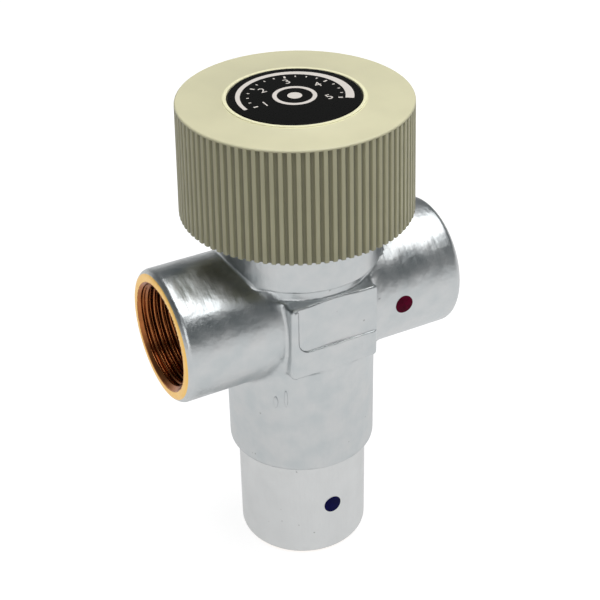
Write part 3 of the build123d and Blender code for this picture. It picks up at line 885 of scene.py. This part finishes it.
def scale_ticks():
    """Outlines of the scale's ticks, longer and wider beside a number."""
    long_inner_r, short_inner_r = 9.9, 10.4
    long_half_angle, short_half_angle = 1.3, 0.9
    ticks = []
    for step in range(tick_count):
        at_number = step % ticks_per_number == 0
        angle = scale_angle(step, tick_count - 1)
        half = long_half_angle if at_number else short_half_angle
        inner = long_inner_r if at_number else short_inner_r
        ticks.append(arc_band(inner, tick_outer_r, angle + half, angle - half, count=2))
    return ticks


def centre_mark():
    """Outlines of the dial's centre mark: a ring in four quarters and a dot."""
    ring = [
        arc_band(centre_ring_inner_r, centre_ring_outer_r, start, start + 90.0, count=24)
        for start in (0.0, 90.0, 180.0, 270.0)
    ]
    around = np.linspace(0, 2 * math.pi, 48, endpoint=False)
    dot = [(centre_dot_r * math.cos(angle), centre_dot_r * math.sin(angle)) for angle in around]
    return ring + [dot]


def make_dial_number(step, material):
    """Plain number beside its tick."""
    name = f"dial_number_{step + 1}"
    curve = bpy.data.curves.new(name, "FONT")
    curve.body = str(step + 1)
    curve.size = number_size * MM
    curve.align_x = "CENTER"
    curve.align_y = "CENTER"
    curve.extrude = print_half_thickness * MM
    letter = bpy.data.objects.new(name, curve)
    bpy.context.scene.collection.objects.link(letter)
    mesh = bpy.data.meshes.new_from_object(letter)
    bpy.data.objects.remove(letter)
    angle = math.radians(scale_angle(step, number_count - 1))
    x = number_reach * math.cos(angle) * MM
    y = number_reach * math.sin(angle) * MM
    mesh.transform(Matrix.Translation((x, y, dial_top_z * MM)))
    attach(link_mesh(name, mesh, material), "knob_assembly")


def make_dial_print(material):
    """Generic scale: a band that widens with temperature, ticks, numbers and a centre mark."""
    band = arc_band(
        band_first_inner_r,
        band_outer_r,
        scale_first_angle,
        scale_last_angle,
        count=96,
        inner_end=band_last_inner_r,
    )
    flat_print("dial_scale_band", [band], material)
    flat_print("dial_ticks", scale_ticks(), material)
    flat_print("dial_centre", centre_mark(), material)
    for step in range(number_count):
        make_dial_number(step, material)


def port_place(x, z, direction):
    """Placing in metres that turns +Z into the way from a port's face to its inside."""
    turn = Vector((0, 0, 1)).rotation_difference(Vector(direction)).to_matrix().to_4x4()
    return Matrix.Translation((x * MM, 0, z * MM)) @ turn


def make_camera():
    """Camera at the photograph's viewing angle, from the angles and distance measured in it."""
    focal_pixels = 1394.7
    image_pixels = 600
    sensor_width = 36
    elevation = 0.5682
    azimuth = -0.4836
    roll = -0.0203
    distance = 344.99
    aim_right = 0.256
    aim_height = port_axis_z - 1.41
    back = Vector(
        (
            math.sin(azimuth) * math.cos(elevation),
            -math.cos(azimuth) * math.cos(elevation),
            math.sin(elevation),
        )
    )
    level = Vector((math.cos(azimuth), math.sin(azimuth), 0))
    upward = back.cross(level)
    right = math.cos(roll) * level + math.sin(roll) * upward
    top = -math.sin(roll) * level + math.cos(roll) * upward
    place = aim_right * level + Vector((0, 0, aim_height)) + distance * back
    camera = bpy.data.objects.new("camera", bpy.data.cameras.new("camera"))
    camera.data.sensor_width = sensor_width
    camera.data.lens = sensor_width * focal_pixels / image_pixels
    camera.data.clip_start = 0.01
    turn = Matrix((right, top, back)).transposed().to_4x4()
    camera.matrix_world = Matrix.Translation(place * MM) @ turn
    bpy.context.scene.collection.objects.link(camera)
    bpy.context.scene.camera = camera


def make_world():
    """White to the camera; reflections and soft light see a room that darkens above the horizon."""
    white = (1.0, 1.0, 1.0)
    low_wall = (0.26, 0.26, 0.26)
    high_wall = (0.13, 0.145, 0.15)
    ceiling = (0.055, 0.065, 0.07)
    soft_strength, seen_strength = 0.3, 1.0
    world = bpy.data.worlds.new("studio")
    bpy.context.scene.world = world
    world.use_nodes = True
    tree = world.node_tree
    tree.nodes.clear()
    path = tree.nodes.new("ShaderNodeLightPath").outputs
    seen = arithmetic(tree, "MAXIMUM", path["Is Camera Ray"], path["Is Glossy Ray"])
    seen = arithmetic(tree, "MAXIMUM", seen, path["Is Transmission Ray"])
    strength = spread(tree, seen, (0, 1), (soft_strength, seen_strength))
    coords = tree.nodes.new("ShaderNodeTexCoord")
    height = axis_values(tree, coords.outputs["Generated"])["Z"]
    room = ramp(tree, height, [(0.0, white), (0.06, low_wall), (0.35, high_wall), (0.6, ceiling)])
    background = tree.nodes.new("ShaderNodeBackground")
    colour = mix_colours(tree, path["Is Camera Ray"], room, white)
    tree.links.new(colour, background.inputs["Color"])
    tree.links.new(strength, background.inputs["Strength"])
    output = tree.nodes.new("ShaderNodeOutputWorld")
    tree.links.new(background.outputs["Background"], output.inputs["Surface"])


def make_lamp(name, place, size, power):
    """Square area lamp that looks at the valve, its place and size in metres."""
    lamp = bpy.data.objects.new(name, bpy.data.lights.new(name, "AREA"))
    lamp.data.shape = "SQUARE"
    lamp.data.size = size
    lamp.data.energy = power
    lamp.location = place
    aim = Vector((0, 0, 0.07)) - Vector(place)
    lamp.rotation_mode = "QUATERNION"
    lamp.rotation_quaternion = aim.to_track_quat("-Z", "Y")
    bpy.context.scene.collection.objects.link(lamp)


def floor_material():
    """Pale floor that shows white but keeps the valve's shadow, and is clear from below."""
    near_glow, far_glow = 0.86, 1.0
    glow_starts, glow_full = 0.3, 1.5
    mirrored_glow = 0.68
    material, tree, shader = principled("pale_floor", (0.3, 0.3, 0.3), 0.9)
    path = tree.nodes.new("ShaderNodeLightPath").outputs
    seen = arithmetic(tree, "MAXIMUM", path["Is Camera Ray"], path["Is Transmission Ray"])
    coords = tree.nodes.new("ShaderNodeTexCoord")
    from_valve = tree.nodes.new("ShaderNodeVectorMath")
    from_valve.operation = "LENGTH"
    tree.links.new(coords.outputs["Object"], from_valve.inputs[0])
    distance = from_valve.outputs["Value"]
    glow = spread(tree, distance, (glow_starts, glow_full), (near_glow, far_glow))
    glow = arithmetic(tree, "MULTIPLY", glow, seen)
    mirrored = arithmetic(tree, "MULTIPLY", path["Is Glossy Ray"], mirrored_glow)
    glow = arithmetic(tree, "MAXIMUM", glow, mirrored)
    shader.inputs["Emission Color"].default_value = (1, 1, 1, 1)
    tree.links.new(glow, shader.inputs["Emission Strength"])

    geometry = tree.nodes.new("ShaderNodeNewGeometry")
    clear = tree.nodes.new("ShaderNodeBsdfTransparent")
    either = tree.nodes.new("ShaderNodeMixShader")
    output = [item for item in tree.nodes if item.type == "OUTPUT_MATERIAL"][0]
    tree.links.new(geometry.outputs["Backfacing"], either.inputs[0])
    tree.links.new(shader.outputs[0], either.inputs[1])
    tree.links.new(clear.outputs[0], either.inputs[2])
    tree.links.new(either.outputs[0], output.inputs["Surface"])
    return material


def make_floor():
    """Square floor under the valve."""
    half = 3.0
    corners = [(-half, -half, 0), (half, -half, 0), (half, half, 0), (-half, half, 0)]
    mesh = bpy.data.meshes.new("floor")
    mesh.from_pydata(corners, [], [(0, 1, 2, 3)])
    link_mesh("floor", mesh, floor_material())


def dress(material, *names):
    """Gives CAD nodes their material."""
    for name in names:
        piece = frame["nodes"][name]
        piece.data.materials.clear()
        piece.data.materials.append(material)


plated = plated_material()
# painted shade: the ports' thread brass is darkened to stand in for the shade inside the bores
port_brass_painted_shade = brass_material("port_brass_painted_shade", (0.42, 0.15, 0.05), 0.25)
turned_brass = brass_material("turned_brass", (0.78, 0.58, 0.28), 0.28)
copper = brass_material("drawn_copper", (0.72, 0.42, 0.28), 0.3)
steel = steel_material()
knob_plastic = knob_material("knob_beige", (0.7, 0.67, 0.45), 0.45)
dial_plastic = plastic_material("dial_black", (0.004, 0.0035, 0.003), 0.3, 2.0, 0.05)
dial_plastic.node_tree.nodes["Principled BSDF"].inputs["Specular IOR Level"].default_value = 0.12
cage_plastic = plastic_material("cage_dark", (0.05, 0.05, 0.05), 0.5, 2.0, 0.2)
rubber = plastic_material("seal_rubber", (0.02, 0.02, 0.02), 0.6, 2.0, 0.3)
print_white = plastic_material("dial_print", (0.75, 0.7, 0.65), 0.4, 2.0, 0.05)
red = enamel_material("red_enamel", (0.11, 0.0, 0.018))
blue = enamel_material("blue_enamel", (0.003, 0.003, 0.075))

make_casting(plated)
make_casting_mark("casting_mark_left", -137, 49.1, 52.7, 0.6, plated)
make_casting_mark("casting_mark_right", -129, 49.8, 54.8, 0.5, plated)
thread_sleeve("hot_port_thread", port_place(port_reach, port_axis_z, (-1, 0, 0)), port_brass_painted_shade)
thread_sleeve("mixed_port_thread", port_place(-port_reach, port_axis_z, (1, 0, 0)), port_brass_painted_shade)
thread_sleeve("cold_port_thread", port_place(0, 0, (0, 0, 1)), port_brass_painted_shade)

dress(turned_brass, "shuttle", "hot_seat", "plunger", "adjusting_nut", "spindle", "bonnet")
dress(steel, "return_spring", "overtravel_spring", "element_pin", "plunger_ring")
dress(steel, "spindle_circlip", "knob_washer", "knob_screw")
dress(rubber, "shuttle_o_ring", "bonnet_o_ring", "spindle_o_ring_lower", "spindle_o_ring_upper")
dress(cage_plastic, "seat_cage", "stop_ring")
dress(copper, "wax_element")
make_knob(knob_plastic)
make_dial_print(print_white)
dress(dial_plastic, "dial_insert")
dress(red, "hot_mark")
dress(blue, "cold_mark")

make_world()
make_floor()
make_lamp("overhead_lamp", (0.12, -0.05, 0.85), size=0.9, power=7.9)
make_lamp("front_lamp", (-0.45, -0.6, 0.35), size=0.4, power=0.8)
make_camera()
bpy.context.scene.view_settings.view_transform = "Standard"
